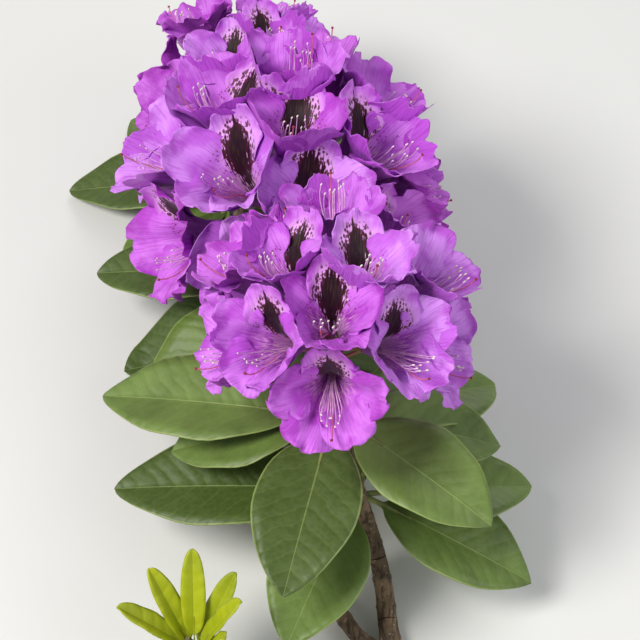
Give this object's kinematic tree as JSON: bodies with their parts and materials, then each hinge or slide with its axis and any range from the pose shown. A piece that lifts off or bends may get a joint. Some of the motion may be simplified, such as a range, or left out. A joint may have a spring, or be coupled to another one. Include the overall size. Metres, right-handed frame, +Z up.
{
  "type": "rhododendron branch",
  "caption": "Cut flowering branch of a purple rhododendron lying down, with round trusses of dark-blotched funnel blooms over whorls of leaves.",
  "frame": {"origin": "middle of the bottom of the whole branch as it lies, on the floor", "axes": "+Y along the branch from its cut end towards the farthest truss, +Z up, +X to the right as seen from the cut end"},
  "size_m": [0.2492, 0.4668, 0.2112],
  "materials": {
    "bark": "rough brown bark",
    "leaf": "leathery green leaf",
    "young_leaf": "soft young yellow-green leaf",
    "petal": "thin satin violet petal"
  },
  "bodies": {
    "root": {"back_bloom_01": "petal", "back_bloom_02": "petal", "back_bloom_03": "petal", "back_bloom_04": "petal", "back_bloom_05": "petal", "back_bloom_06": "petal", "back_bloom_07": "petal", "back_bloom_08": "petal", "back_bloom_09": "petal", "back_bloom_10": "petal", "back_bloom_11": "petal", "back_bloom_12": "petal", "back_leaves": "leaf", "back_shoot": "bark", "back_truss_stalk": "bark", "front_bloom_01": "petal", "front_bloom_02": "petal", "front_bloom_03": "petal", "front_bloom_04": "petal", "front_bloom_05": "petal", "front_bloom_06": "petal", "front_bloom_07": "petal", "front_bloom_08": "petal", "front_bloom_09": "petal", "front_bloom_10": "petal", "front_bloom_11": "petal", "front_bloom_12": "petal", "front_bloom_13": "petal", "front_bloom_14": "petal", "front_bloom_15": "petal", "front_bloom_16": "petal", "front_leaves": "leaf", "front_shoot": "bark", "front_truss_stalk": "bark", "lower_leaves": "leaf", "main_stem": "bark", "middle_bloom_01": "petal", "middle_bloom_02": "petal", "middle_bloom_03": "petal", "middle_bloom_04": "petal", "middle_bloom_05": "petal", "middle_bloom_06": "petal", "middle_bloom_07": "petal", "middle_bloom_08": "petal", "middle_bloom_09": "petal", "middle_bloom_10": "petal", "middle_bloom_11": "petal", "middle_bloom_12": "petal", "middle_bloom_13": "petal", "middle_bloom_14": "petal", "middle_bloom_15": "petal", "middle_bloom_16": "petal", "middle_bloom_17": "petal", "middle_bloom_18": "petal", "middle_leaves": "leaf", "middle_shoot": "bark", "middle_truss_stalk": "bark", "young_leaves": "young_leaf", "young_shoot": "bark"}
  },
  "joints": []
}
